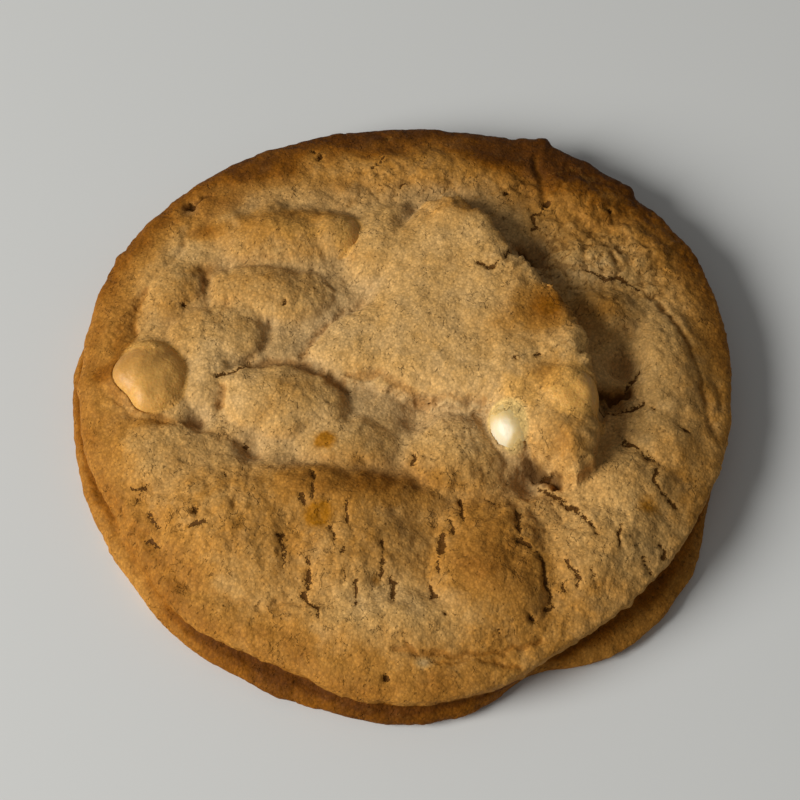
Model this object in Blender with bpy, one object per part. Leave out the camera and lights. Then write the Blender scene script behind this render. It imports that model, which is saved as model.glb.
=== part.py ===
"""A round chunky cookie with macadamia halves and a white chocolate chip sunk in its crust.

+Z is up and +Y is the back. The origin lies under the middle of the cookie, on the face it rests on.
Sizes are in millimetres, and become metres where the meshes are made.
"""

import math

import bpy
import numpy as np
from mathutils import Matrix, Vector, noise

MM = 0.001

INNER_HEIGHT = 7.7        # the dough's usual height inside the rim
DOME_POWER = 5.5          # how late the top turns down towards the rim
FOOT_HEIGHT = 2.6         # thickness of the thin browned sheet under the crust
CLEARANCE = 0.3           # gap between a nut and its socket
RINGS = 31                # rings of triangles over the crust
CRUMB_HEIGHT = 0.16       # unevenness of the crust
CRUMB_SIZE = 3.4

# angle in degrees from +X, radius of the crust at its widest
CRUST_RADIUS = [
    (-167, 38.5), (-156, 37.0), (-147, 37.2), (-138, 37.8), (-130, 38.4), (-120, 37.5), (-108, 37.4),
    (-100, 38.9), (-86, 39.8), (-71, 39.3), (-62, 38.0), (-45, 38.5), (-30, 39.0), (-20, 39.4),
    (-7, 40.4), (5, 41.2), (13, 41.9), (21, 42.8), (32, 43.5), (46, 43.2), (58, 43.8), (70, 42.5),
    (80, 41.7), (103, 41.4), (118, 41.9), (132, 42.0), (146, 41.9), (157, 41.3), (166, 40.3), (176, 39.5),
]
# angle, radius of the foot
FOOT_RADIUS = [
    (-176, 40.0), (-160, 39.5), (-145, 39.0), (-128, 39.7), (-119, 39.1), (-113, 39.9), (-106, 39.5),
    (-90, 40.8), (-78, 40.3), (-70, 38.4), (-65, 37.1), (-59, 39.2), (-52, 41.0), (-38, 41.4), (-28, 41.0),
    (-20, 39.4), (-8, 39.6), (12, 40.9), (32, 42.6), (58, 42.8), (80, 40.7), (110, 40.8), (145, 41.2),
    (160, 40.4), (170, 41.3), (177, 40.4),
]
# angle, height at which the crust is widest
LIP_HEIGHT = [
    (-165, 3.9), (-146, 3.4), (-130, 4.3), (-95, 4.6), (-75, 5.0), (-60, 5.6), (-45, 6.0), (-30, 6.0),
    (-15, 5.4), (5, 5.0), (50, 5.0), (80, 4.6), (115, 4.5), (165, 3.6),
]
# angle, depth of the crease between crust and foot
CREASE_DEPTH = [
    (-160, 0.4), (-151, -0.5), (-140, -0.5), (-130, 0.4), (-112, 0.6), (-100, 0.3), (-80, 0.3),
    (-70, 0.5), (-62, 0.7), (-48, 0.9), (-32, 0.8), (-20, 0.5), (-8, 0.1), (168, 0.1),
]

# x, y, half width, half depth, turn in degrees, rise above the dough, crispness of the edge
LUMPS = [
    (-16.4, 14.3, 7.8, 4.0, -8, 1.9, 0.8), (-22.4, 8.0, 5.6, 4.8, 0, 1.4, 0.8),
    (-23.0, 2.2, 3.6, 5.0, 5, 1.2, 1.0), (-14.7, -1.2, 7.4, 4.6, -14, 2.9, 0.7),
    (-15.5, 22.6, 10.0, 4.8, -4, 1.9, 1.2), (-28.6, 15.0, 4.4, 5.0, 0, 1.0, 1.0),
    (-29.5, -8.0, 7.0, 5.5, 0, 0.8, 1.4), (-18.5, -18.0, 12.0, 9.0, -15, 2.1, 1.2),
    (10.9, -24.0, 7.4, 9.2, 0, 2.2, 0.9), (-6.6, -7.6, 6.0, 4.4, -10, 1.5, 1.2),
    (7.0, -8.6, 5.8, 6.0, 0, 2.0, 0.9), (-5.5, -20.0, 9.5, 9.0, 0, 2.3, 1.3),
    (26.4, 11.8, 4.6, 4.4, 0, 1.5, 1.0), (23.6, 18.6, 6.0, 4.4, -20, 1.2, 1.0),
    (33.0, 4.0, 5.2, 8.0, 0, 1.7, 1.0), (32.6, -6.6, 6.0, 4.4, -30, 1.2, 1.1),
    (26.6, -12.4, 7.2, 5.4, -10, 1.6, 1.0), (25.0, -21.5, 9.5, 6.8, 25, 1.9, 1.1),
    (24.6, 29.0, 6.4, 5.6, -30, 1.0, 1.1), (4.8, 33.6, 11.5, 4.2, 0, 0.9, 1.3),
    (31.2, 21.6, 5.0, 6.0, 20, 0.9, 1.2), (-1.6, 20.4, 5.4, 7.4, 0, 2.3, 1.0),
    (-8.0, -14.8, 15.0, 5.0, -3, 2.5, 1.3), (-1.0, -30.5, 14.0, 4.2, 0, 1.3, 1.3),
]
# outline of the raised plate of crust in the middle, and the height of its top at x = 0 and per mm of x
PLATE = [
    (-11.2, 5.4), (-8.0, 9.6), (-4.6, 12.0), (-1.6, 16.5), (0.2, 22.5), (3.0, 27.4), (7.4, 27.9),
    (11.4, 23.8), (14.1, 18.6), (17.0, 14.8), (20.9, 9.8), (23.0, 4.6), (23.7, -1.5), (24.0, -9.0),
    (21.6, -13.2), (17.2, -9.9), (12.6, -6.4), (10.8, -3.6), (5.0, -2.6), (-0.6, -0.4), (-6.6, 1.2),
]
PLATE_HEIGHT = 10.7
PLATE_SLOPE = 0.115
PLATE_EDGE_LEFT = 5.0     # how wide the plate's rounded edge is at its left tip
PLATE_EDGE_RIGHT = 2.6    # and along its steep right side
# x, y, radius and depth of hollows
HOLLOWS = [
    (27.4, 4.0, 3.2, 2.4), (25.8, -0.6, 2.8, 2.6), (17.6, 20.4, 3.2, 2.4), (15.4, -12.4, 2.8, 2.2),
    (-17.6, -7.4, 3.0, 1.4), (-24.2, -3.6, 2.6, 1.2), (-27.0, 28.2, 1.8, 1.4), (2.0, -3.6, 3.4, 1.0),
    (21.4, -2.2, 5.4, 1.3), (13.2, -5.6, 4.4, 0.9),
]
# name, centre, radii, turn in degrees
NUTS = [
    ("macadamia_left", (-30.4, 2.2, 5.9), (5.1, 5.7, 3.7), 12),
    ("macadamia_back", (-7.9, 22.7, 7.3), (4.0, 3.6, 2.9), -12),
    ("macadamia_middle", (20.5, -2.4, 9.6), (3.6, 4.7, 3.7), 10),
    ("white_chip", (13.9, -5.2, 8.9), (2.9, 3.6, 2.9), 15),
]

COLOURS = {
    "cookie": (0.52, 0.27, 0.10),
    "macadamia_left": (0.66, 0.43, 0.16),
    "macadamia_back": (0.64, 0.44, 0.20),
    "macadamia_middle": (0.70, 0.40, 0.12),
    "white_chip": (0.83, 0.74, 0.55),
}


def around(table, angle):
    """A table's value at each angle, running smoothly round the circle."""
    fine = np.arange(-180.0, 180.0)
    keys = [row[0] for row in table]
    values = [row[1] for row in table]
    line = np.interp(fine, keys, values, period=360.0)
    spread = np.arange(-9, 10)
    weight = np.exp(-0.5 * (spread / 3.0) ** 2)
    weight /= weight.sum()
    smooth = sum(w * np.roll(line, s) for w, s in zip(weight, spread))
    return np.interp(np.degrees(angle), fine, smooth, period=360.0)


def smoothstep(low, high, value):
    share = np.clip((value - low) / (high - low), 0.0, 1.0)
    return share * share * (3.0 - 2.0 * share)


def crust_curve(steps):
    """Shares of radius and of rise along the crust, evenly spaced from its middle to its widest."""
    turn = np.linspace(0.0, math.pi / 2, 4000)
    share = np.sin(turn) ** (2.0 / DOME_POWER)
    rise = np.cos(turn)
    length = np.concatenate([[0.0], np.cumsum(np.hypot(np.diff(share), 0.1 * np.diff(rise)))])
    even = np.linspace(0.0, length[-1], steps + 1)
    return np.interp(even, length, share), np.interp(even, length, rise)


def edge_distance(x, y, corners):
    """Distance to the outline of a closed shape, positive inside it."""
    nearest = np.full(x.shape, 1e9)
    inside = np.zeros(x.shape, dtype=bool)
    for (ax, ay), (bx, by) in zip(corners, corners[1:] + corners[:1]):
        along = ((x - ax) * (bx - ax) + (y - ay) * (by - ay)) / ((bx - ax) ** 2 + (by - ay) ** 2)
        along = np.clip(along, 0.0, 1.0)
        nearest = np.minimum(nearest, np.hypot(x - ax - along * (bx - ax), y - ay - along * (by - ay)))
        if ay != by:
            crosses = ((ay > y) != (by > y)) & (x < ax + (y - ay) * (bx - ax) / (by - ay))
            inside ^= crosses
    return np.where(inside, nearest, -nearest)


def relief(x, y):
    """Rise of the crust's lumps, plate and hollows above the plain dough."""
    total = np.zeros(x.shape)
    for cx, cy, half_x, half_y, turn, rise, crisp in LUMPS:
        c = math.cos(math.radians(turn))
        s = math.sin(math.radians(turn))
        along = ((x - cx) * c + (y - cy) * s) / half_x
        across = ((y - cy) * c - (x - cx) * s) / half_y
        dome = rise * np.clip(1.0 - 0.8 * (along ** 2 + across ** 2), 0.0, None) ** (crisp + 0.45)
        total = (total ** 4 + dome ** 4) ** 0.25
    edge = PLATE_EDGE_LEFT + (PLATE_EDGE_RIGHT - PLATE_EDGE_LEFT) * smoothstep(-2.0, 14.0, x)
    inside = smoothstep(0.0, 1.0, 0.25 + edge_distance(x, y, PLATE) / edge)
    plate = PLATE_HEIGHT + PLATE_SLOPE * x - INNER_HEIGHT
    total += inside * (np.maximum(plate, total) - total)
    for cx, cy, radius, depth in HOLLOWS:
        total -= depth * np.exp(-((x - cx) ** 2 + (y - cy) ** 2) / (0.6 * radius) ** 2)
    return total


def crumb(points, size, height):
    """Uneven rise of the crust at each point."""
    return np.array([height * noise.fractal(Vector(point) / size, 1.0, 2.0, 3) for point in points])


def ring_faces(rings):
    """Triangles of a disc whose ring k has 6 k corners round one middle corner."""
    faces = []
    for ring in range(1, rings + 1):
        outer = 1 + 3 * ring * (ring - 1)
        inner = 1 + 3 * (ring - 1) * (ring - 2) if ring > 1 else 0
        around_inner = max(6 * (ring - 1), 1)
        for sector in range(6):
            for step in range(ring):
                a = outer + sector * ring + step
                b = outer + (sector * ring + step + 1) % (6 * ring)
                c = inner + (sector * (ring - 1) + step) % around_inner
                faces.append((c, a, b))
                if step < ring - 1:
                    d = inner + (sector * (ring - 1) + step + 1) % around_inner
                    faces.append((c, b, d))
    return faces


def dough_surface():
    """Corners and faces of the closed dough, in millimetres."""
    share, rise = crust_curve(RINGS)
    ring = np.concatenate([[0]] + [np.full(6 * k, k) for k in range(1, RINGS + 1)])
    step = np.concatenate([[0]] + [np.arange(6 * k) for k in range(1, RINGS + 1)])
    angle = 2 * math.pi * step / np.maximum(6 * ring, 1)
    angle = (angle + math.pi) % (2 * math.pi) - math.pi
    radius = share[ring] * around(CRUST_RADIUS, angle)
    lip = around(LIP_HEIGHT, angle)
    x = radius * np.cos(angle)
    y = radius * np.sin(angle)
    fade = 1.0 - smoothstep(0.84, 1.0, share[ring])
    z = lip + (INNER_HEIGHT - lip) * rise[ring] + relief(x, y) * fade
    z += crumb(np.column_stack([x, y, 0 * x]), CRUMB_SIZE, CRUMB_HEIGHT) * (0.3 + 0.7 * fade)
    corners = [np.column_stack([x, y, z])]

    last = ring == RINGS
    rim_angle = angle[last]
    crust_r = around(CRUST_RADIUS, rim_angle)
    foot_r = around(FOOT_RADIUS, rim_angle)
    lip_z = z[last]
    depth = around(CREASE_DEPTH, rim_angle)
    gap = lip_z - FOOT_HEIGHT
    sections = [
        (crust_r - 0.25 * depth, lip_z - 0.45 * gap),
        (crust_r - depth, lip_z - 0.85 * gap),
        (0.45 * (crust_r - depth) + 0.55 * foot_r, FOOT_HEIGHT - 0.25 + 0 * gap),
        (foot_r, 0.6 * FOOT_HEIGHT + 0 * gap),
        (foot_r, 0.3 * FOOT_HEIGHT + 0 * gap),
        (foot_r - 0.45, 0 * gap),
    ]
    for section_r, section_z in sections:
        corners.append(np.column_stack([section_r * np.cos(rim_angle), section_r * np.sin(rim_angle), section_z]))

    faces = ring_faces(RINGS)
    count = 6 * RINGS
    first = 1 + 3 * RINGS * (RINGS - 1)
    for row in range(len(sections)):
        upper = first + row * count
        for step in range(count):
            after = (step + 1) % count
            a = upper + step
            b = upper + after
            faces.append((a, a + count, b + count))
            faces.append((a, b + count, b))
    base = first + len(sections) * count
    faces.append(tuple(base + count - 1 - step for step in range(count)))
    return np.vstack(corners), faces


def add_object(name, corners, faces, colour):
    mesh = bpy.data.meshes.new(name)
    mesh.from_pydata([tuple(MM * float(v) for v in corner) for corner in corners], [], faces)
    material = bpy.data.materials.new(name)
    material.use_nodes = True
    shader = material.node_tree.nodes["Principled BSDF"]
    shader.inputs["Base Color"].default_value = (*colour, 1.0)
    shader.inputs["Roughness"].default_value = 0.6
    mesh.materials.append(material)
    thing = bpy.data.objects.new(name, mesh)
    bpy.context.scene.collection.objects.link(thing)
    return thing


def nut_surface(centre, radii, turn, margin):
    """Corners and faces of a slightly uneven nut, grown outwards by a margin."""
    rows = 9
    columns = 18
    rotation = Matrix.Rotation(math.radians(turn), 3, "Z")
    corners = []
    for row in range(rows + 1):
        tilt = math.pi * row / rows
        for column in range(columns if 0 < row < rows else 1):
            round_z = 2 * math.pi * (column + 0.5 * (row % 2)) / columns
            way = Vector((math.sin(tilt) * math.cos(round_z), math.sin(tilt) * math.sin(round_z), math.cos(tilt)))
            uneven = 1.0 + 0.05 * noise.noise(way * 1.3 + Vector(centre))
            local = Vector([way[i] * (radii[i] * uneven + margin) for i in range(3)])
            corners.append(Vector(centre) + rotation @ local)
    faces = []
    for column in range(columns):
        faces.append((0, 1 + column, 1 + (column + 1) % columns))
    for row in range(1, rows - 1):
        upper = 1 + (row - 1) * columns
        lower = upper + columns
        for column in range(columns):
            a = column
            b = (column + 1) % columns
            if row % 2:
                faces.append((upper + a, lower + b, upper + b))
                faces.append((upper + a, lower + a, lower + b))
            else:
                faces.append((upper + a, lower + a, upper + b))
                faces.append((upper + b, lower + a, lower + b))
    last = 1 + (rows - 1) * columns
    for column in range(columns):
        faces.append((last, last - columns + (column + 1) % columns, last - columns + column))
    return corners, faces


def sink(dough, name, centre, radii, turn):
    """Cuts a socket for one nut into the dough."""
    corners, faces = nut_surface(centre, radii, turn, CLEARANCE)
    cutter = add_object("socket_" + name, corners, faces, COLOURS[name])
    cutter.hide_render = True
    cutter.display_type = "WIRE"
    cut = dough.modifiers.new("socket_" + name, "BOOLEAN")
    cut.operation = "DIFFERENCE"
    cut.solver = "EXACT"
    cut.object = cutter


def build():
    for thing in list(bpy.data.objects):
        bpy.data.objects.remove(thing, do_unlink=True)
    corners, faces = dough_surface()
    low = corners.min(axis=0)
    high = corners.max(axis=0)
    shift = np.array([-0.5 * (low[0] + high[0]), -0.5 * (low[1] + high[1]), 0.0])
    dough = add_object("cookie", corners + shift, faces, COLOURS["cookie"])
    for name, centre, radii, turn in NUTS:
        place = tuple(c + s for c, s in zip(centre, shift))
        sink(dough, name, place, radii, turn)
        nut_corners, nut_faces = nut_surface(place, radii, turn, 0.0)
        nut = add_object(name, nut_corners, nut_faces, COLOURS[name])
        for face in nut.data.polygons:
            face.use_smooth = True


build()
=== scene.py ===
"""Looks for a white chocolate macadamia cookie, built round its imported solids.

The dough is one closed mesh: a disc of triangle rings over the crust, rows round the rim and a flat
underside. Its form comes from named lumps, a raised plate, creases, cracks and pits, in millimetres.
The nuts and the chip are round primitives shaped to the sockets that the solids give them.
"""

import math

import bmesh
import bpy
import numpy as np
from bpy.props import FloatProperty, FloatVectorProperty, IntProperty, PointerProperty
from mathutils import Matrix, Vector, noise


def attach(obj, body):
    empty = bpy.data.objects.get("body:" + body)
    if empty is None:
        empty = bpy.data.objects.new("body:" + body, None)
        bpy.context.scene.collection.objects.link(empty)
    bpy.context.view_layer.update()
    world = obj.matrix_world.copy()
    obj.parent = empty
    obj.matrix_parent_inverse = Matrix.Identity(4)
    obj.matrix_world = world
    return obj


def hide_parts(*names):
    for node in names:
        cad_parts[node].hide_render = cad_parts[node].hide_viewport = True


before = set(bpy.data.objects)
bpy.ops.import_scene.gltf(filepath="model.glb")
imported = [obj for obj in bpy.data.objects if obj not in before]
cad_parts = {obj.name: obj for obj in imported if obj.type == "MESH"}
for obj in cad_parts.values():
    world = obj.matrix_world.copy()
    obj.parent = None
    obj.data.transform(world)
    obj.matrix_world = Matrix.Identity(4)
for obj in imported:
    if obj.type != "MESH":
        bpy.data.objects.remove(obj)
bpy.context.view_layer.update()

bl_info = {
    "name": "Cookie dresser",
    "version": (1, 0, 0),
    "blender": (4, 5, 0),
    "location": "View3D > Sidebar > Cookie",
    "description": "Builds the looks of a cookie with macadamias and a white chocolate chip",
    "category": "Add Mesh",
}

MM = 0.001

# In mm: the distance given where no groove is near, the sizes of clods and of bits of crumb, how far from the
# plate's edge the rings are drawn towards it, and how far the edge leans over
FAR = 3.0
CLOD_SIZE = 2.3
BIT_SIZE = 1.1
EDGE_REACH = 1.6
EDGE_OVERHANG = 0.4
# In m: radius of the flat disc before it takes its form, and the step between the rows that hang from it
DISC_RADIUS = 0.04
ROW_STEP = 0.0005
# Rows between the places that the rim's profile runs through
RIM_SPANS = (3, 3, 6, 6, 3, 3)
# Places round the solids' outline, which gives its middle
OUTLINE_STEPS = 186

# The same base form as the solids
DOME_POWER = 5.5
FOOT_HEIGHT = 2.6
CRUST_RADIUS = [
    (-167, 38.5), (-156, 37.0), (-147, 37.2), (-138, 37.8), (-130, 38.4), (-120, 37.5), (-108, 37.4),
    (-100, 38.9), (-86, 39.8), (-71, 39.3), (-62, 38.0), (-45, 38.5), (-30, 39.0), (-20, 39.4), (-7, 40.4),
    (5, 41.2), (13, 41.9), (21, 42.8), (32, 43.5), (46, 43.2), (58, 43.8), (70, 42.5), (80, 41.7),
    (103, 41.4), (118, 41.9), (132, 42.0), (146, 41.9), (157, 41.3), (166, 40.3), (176, 39.5),
]
FOOT_RADIUS = [
    (-176, 40.0), (-160, 39.5), (-145, 39.0), (-128, 39.7), (-119, 39.1), (-113, 39.9), (-106, 39.5),
    (-90, 40.8), (-78, 40.3), (-70, 38.4), (-65, 37.1), (-59, 39.2), (-52, 41.0), (-38, 41.4), (-28, 41.0),
    (-20, 39.4), (-8, 39.6), (12, 40.9), (32, 42.6), (58, 42.8), (80, 40.7), (110, 40.8), (145, 41.2),
    (160, 40.4), (170, 41.3), (177, 40.4),
]
LIP_HEIGHT = [
    (-165, 3.9), (-146, 3.4), (-130, 4.3), (-95, 4.6), (-75, 5.0), (-60, 5.6), (-45, 6.0), (-30, 6.0),
    (-15, 5.4), (5, 5.0), (50, 5.0), (80, 4.6), (115, 4.5), (165, 3.6),
]
CREASE_DEPTH = [
    (-160, 0.4), (-151, -0.5), (-140, -0.5), (-130, 0.4), (-112, 0.6), (-100, 0.3), (-80, 0.3), (-70, 0.5),
    (-62, 0.7), (-48, 0.9), (-32, 0.8), (-20, 0.5), (-8, 0.1), (168, 0.1),
]

# x, y, half width, half depth, turn in degrees, rise above the dough, crispness of the edge
LUMPS = [
    (-16.0, 14.3, 7.4, 4.0, -8, 1.7, 0.3), (-22.4, 8.0, 5.4, 4.6, 0, 1.1, 0.35),
    (-23.2, 2.2, 3.0, 5.0, 5, 1.0, 0.5), (-14.1, -1.2, 7.4, 4.4, -12, 2.2, 0.2),
    (-14.4, 22.6, 10.4, 5.0, -4, 2.2, 1.1), (-28.6, 15.0, 4.4, 5.0, 0, 1.0, 1.0),
    (-29.5, -8.0, 7.0, 5.5, 0, 0.8, 1.4), (-18.5, -18.0, 12.0, 9.0, -15, 2.1, 1.2),
    (10.9, -24.0, 7.0, 8.8, 0, 2.0, 0.5), (-6.6, -7.6, 6.0, 4.4, -10, 1.4, 0.8),
    (7.0, -8.6, 5.6, 5.8, 0, 1.8, 0.4), (-5.5, -20.0, 9.5, 9.0, 0, 2.3, 1.3),
    (26.4, 11.8, 4.6, 4.4, 0, 1.5, 1.0), (23.6, 18.6, 6.0, 4.4, -20, 1.2, 1.0),
    (33.0, 4.0, 5.0, 8.0, 0, 1.6, 0.6), (32.6, -6.6, 6.0, 4.4, -30, 1.2, 0.8),
    (26.6, -12.4, 7.0, 5.2, -10, 1.5, 0.6), (25.0, -21.5, 9.3, 6.6, 25, 1.8, 0.8),
    (24.6, 29.0, 6.4, 5.6, -30, 1.0, 1.1), (4.8, 33.6, 11.5, 4.2, 0, 0.9, 1.3),
    (31.2, 21.6, 5.0, 6.0, 20, 0.9, 1.2), (-1.6, 20.4, 5.4, 7.4, 0, 2.3, 1.0),
    (-8.0, -14.8, 15.0, 5.0, -3, 2.5, 1.3), (-1.0, -30.5, 14.0, 4.2, 0, 1.3, 1.3),
]
# x, y, crispness of the plate's edge there
PLATE = [
    (-11.2, 5.4, 0.5), (-8.0, 9.6, 0.4), (-4.6, 12.0, 0.3), (-1.6, 16.5, 0.1), (0.2, 22.5, 0.1),
    (3.0, 27.4, 0.3), (7.4, 27.9, 0.6), (11.4, 23.8, 0.8), (14.1, 18.6, 1.0), (17.0, 14.8, 1.0),
    (20.9, 9.8, 1.0), (23.0, 4.6, 1.0), (23.7, -1.5, 1.0), (24.0, -8.4, 0.5), (23.2, -11.2, 0.3),
    (21.2, -12.8, 0.2), (19.2, -12.0, 0.3), (17.2, -9.9, 0.5), (12.6, -6.4, 0.5), (10.8, -3.6, 0.4),
    (5.0, -2.6, 0.35), (-0.6, -0.4, 0.4), (-6.6, 1.2, 0.4),
]
PLATE_HEIGHT = 10.55
PLATE_SLOPE = 0.115
# x, y, radius and depth of hollows
HOLLOWS = [
    (27.4, 4.0, 3.2, 2.4), (25.8, -0.6, 2.8, 2.6), (17.6, 20.4, 3.2, 2.4), (15.4, -12.4, 2.8, 2.2),
    (-17.6, -7.4, 3.0, 1.4), (-24.2, -3.6, 2.6, 1.2), (-27.0, 28.2, 1.8, 1.4), (2.0, -3.6, 3.4, 1.0),
    (21.4, -2.2, 5.4, 1.3), (13.2, -5.6, 4.4, 0.9),
]
# name, centre, radii, turn in degrees
NUTS = [
    ("macadamia_left", (-30.4, 2.2, 5.9), (5.1, 5.7, 3.7), 12),
    ("macadamia_back", (-7.9, 22.7, 7.3), (4.0, 3.6, 2.9), -12),
    ("macadamia_middle", (20.5, -2.4, 9.6), (3.6, 4.7, 3.7), 10),
    ("white_chip", (13.9, -5.2, 8.9), (2.9, 3.6, 2.9), 15),
]

# name: towards which angle, in degrees, how much and over how many degrees a nut's outline is cut back
NUT_FLATS = {
    "macadamia_left": [(222, 0.28, 36), (138, 0.07, 24), (285, 0.07, 25)],
}
# name: sides from which a film of dough covers a nut, each an angle in degrees, how far past the nut's middle
# it ends as a share of the radius, and over how many mm it thins out
NUT_FILMS = {
    "macadamia_left": [(80, 0.76, 1.3), (15, 0.74, 1.5), (325, 0.76, 1.1)],
    "macadamia_back": [(175, -0.40, 1.1), (95, 0.5, 1.0)],
    "macadamia_middle": [(165, -0.05, 1.3), (262, 0.55, 1.0)],
    "white_chip": [(20, 0.05, 1.2), (85, 0.25, 1.6), (330, 0.5, 0.8)],
}
# name: how far a nut sits below its solid, how high and how steep the dough beside it is, how toasted it is and
# how flat its top is
NUT_SETTING = {
    "macadamia_left": (0.5, 1.5, 0.8, 0.72, 2.7), "macadamia_back": (0.5, 0.5, 0.9, 0.0, 2.0),
    "macadamia_middle": (0.0, -0.9, 2.2, 0.2, 2.7), "white_chip": (0.4, 0.2, 1.4, 0.0, 2.2),
}
# Thickness of a film of dough over a nut, in mm
FILM = 0.14
# x, y, half width, half depth and strength of dough stained by a nut under it
NUTTY = [
    (16.6, -2.4, 3.4, 3.0, 0.6), (-12.6, 23.4, 5.5, 2.6, 0.7), (-13.5, -0.6, 3.6, 2.0, 0.35),
    (13.6, -1.8, 2.4, 2.0, 0.5), (20.8, -0.4, 2.4, 2.8, 0.7),
]

# Deep dark gaps: half width, depth, and the points that each runs through
CREVICES = [
    (0.62, 1.6, (15.5, -9.9), (17.1, -11.1)), (0.5, 1.4, (17.1, -11.1), (18.9, -12.4)),
    (0.4, 1.0, (24.0, 0.6), (28.0, 0.1)), (0.45, 1.0, (15.6, 20.8), (16.7, 20.1)),
    (0.24, 0.5, (-27.2, 28.4), (-24.6, 30.0)),
]
# Fine relief, in the same way
CRACKS = [
    (0.19, 0.9, (-10.2, -11.7), (-10.1, -15.3)), (0.18, 0.6, (-11.6, -14.9), (-11.2, -16.4)),
    (0.15, 0.7, (-13.7, -19.7), (-13.5, -21.6), (-13.2, -23.8)),
    (0.22, 1.0, (-10.4, -22.9), (-10.5, -25.4), (-10.9, -27.0), (-10.1, -28.6)),
    (0.18, 0.7, (-9.5, -28.7), (-9.4, -30.2)), (0.16, 0.7, (-6.2, -16.2), (-5.8, -18.7)),
    (0.12, 0.5, (-8.0, -19.0), (-7.7, -21.0)), (0.13, 0.5, (-6.5, -22.1), (-6.3, -26.0)),
    (0.18, 0.8, (-1.8, -20.6), (-1.7, -23.4), (-2.0, -25.4)), (0.25, 0.6, (-0.4, -25.6), (-0.7, -28.2)),
    (0.12, 0.5, (-4.8, -25.9), (-5.1, -28.4)), (0.28, 1.1, (7.5, -14.8), (7.7, -17.7)),
    (0.22, 0.9, (6.0, -18.0), (6.5, -19.4)), (0.25, 1.1, (5.0, -20.1), (5.2, -22.1)),
    (0.21, 0.9, (4.5, -23.3), (4.8, -24.6)), (0.18, 0.7, (3.7, -26.0), (4.4, -27.8)),
    (0.24, 1.1, (14.3, -16.5), (14.2, -19.0), (14.3, -21.0), (15.4, -22.0)),
    (0.29, 1.1, (16.6, -22.5), (17.0, -24.7), (17.8, -27.3), (17.5, -28.6)),
    (0.21, 0.9, (16.8, -13.1), (19.1, -14.7), (21.1, -16.3)),
    (0.22, 0.9, (21.5, -17.1), (22.5, -18.2), (23.4, -19.6)),
    (0.16, 0.7, (19.8, -23.4), (20.9, -25.0), (21.0, -26.4)), (0.18, 0.7, (19.0, -26.0), (19.3, -26.9)),
    (0.14, 0.6, (22.5, -24.5), (22.7, -26.0)), (0.13, 0.5, (26.0, -18.6), (25.9, -21.5)),
    (0.18, 0.8, (27.1, -7.2), (28.9, -8.3), (30.6, -9.6)),
    (0.21, 0.9, (31.1, -10.2), (30.6, -12.9), (31.9, -14.3), (33.1, -15.8)),
    (0.22, 0.9, (18.4, 27.3), (17.3, 25.9), (17.0, 23.7)),
    (0.18, 0.8, (23.0, 17.5), (25.7, 16.1), (27.6, 16.4), (30.0, 14.7)),
    (0.16, 0.8, (27.6, 0.6), (29.4, 2.9)), (0.25, 1.2, (23.4, -1.9), (26.6, -2.2), (29.8, -1.9)),
    (0.19, 0.9, (10.1, 15.9), (11.3, 15.3), (13.2, 16.9), (14.2, 18.0)),
    (0.16, 0.6, (-30.7, -12.2), (-31.1, -14.1)),
    (0.19, 0.7, (-29.6, -16.2), (-28.7, -17.8), (-28.0, -18.0)),
    (0.22, 0.8, (-29.7, -19.4), (-28.9, -19.9), (-28.0, -20.2)),
    (0.22, 1.0, (-22.0, 1.7), (-19.9, 2.4), (-18.1, 3.9)), (0.25, 1.0, (1.8, -9.0), (1.5, -10.6)),
    (0.21, 0.7, (10.6, -15.2), (12.2, -15.6)), (0.12, 0.5, (-1.9, 34.9), (-3.4, 33.3)),
    (0.16, 0.6, (0.6, 30.7), (-0.6, 28.6)), (0.18, 0.7, (30.8, -20.4), (31.1, -21.8)),
    (0.15, 0.6, (28.9, -22.3), (29.5, -23.6)), (0.25, 0.7, (-24.5, -18.5), (-23.0, -18.1)),
    (0.1, 0.4, (-31.9, -12.6), (-30.2, -12.2)), (0.12, 0.5, (33.9, -4.5), (35.3, -5.6)),
]
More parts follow.
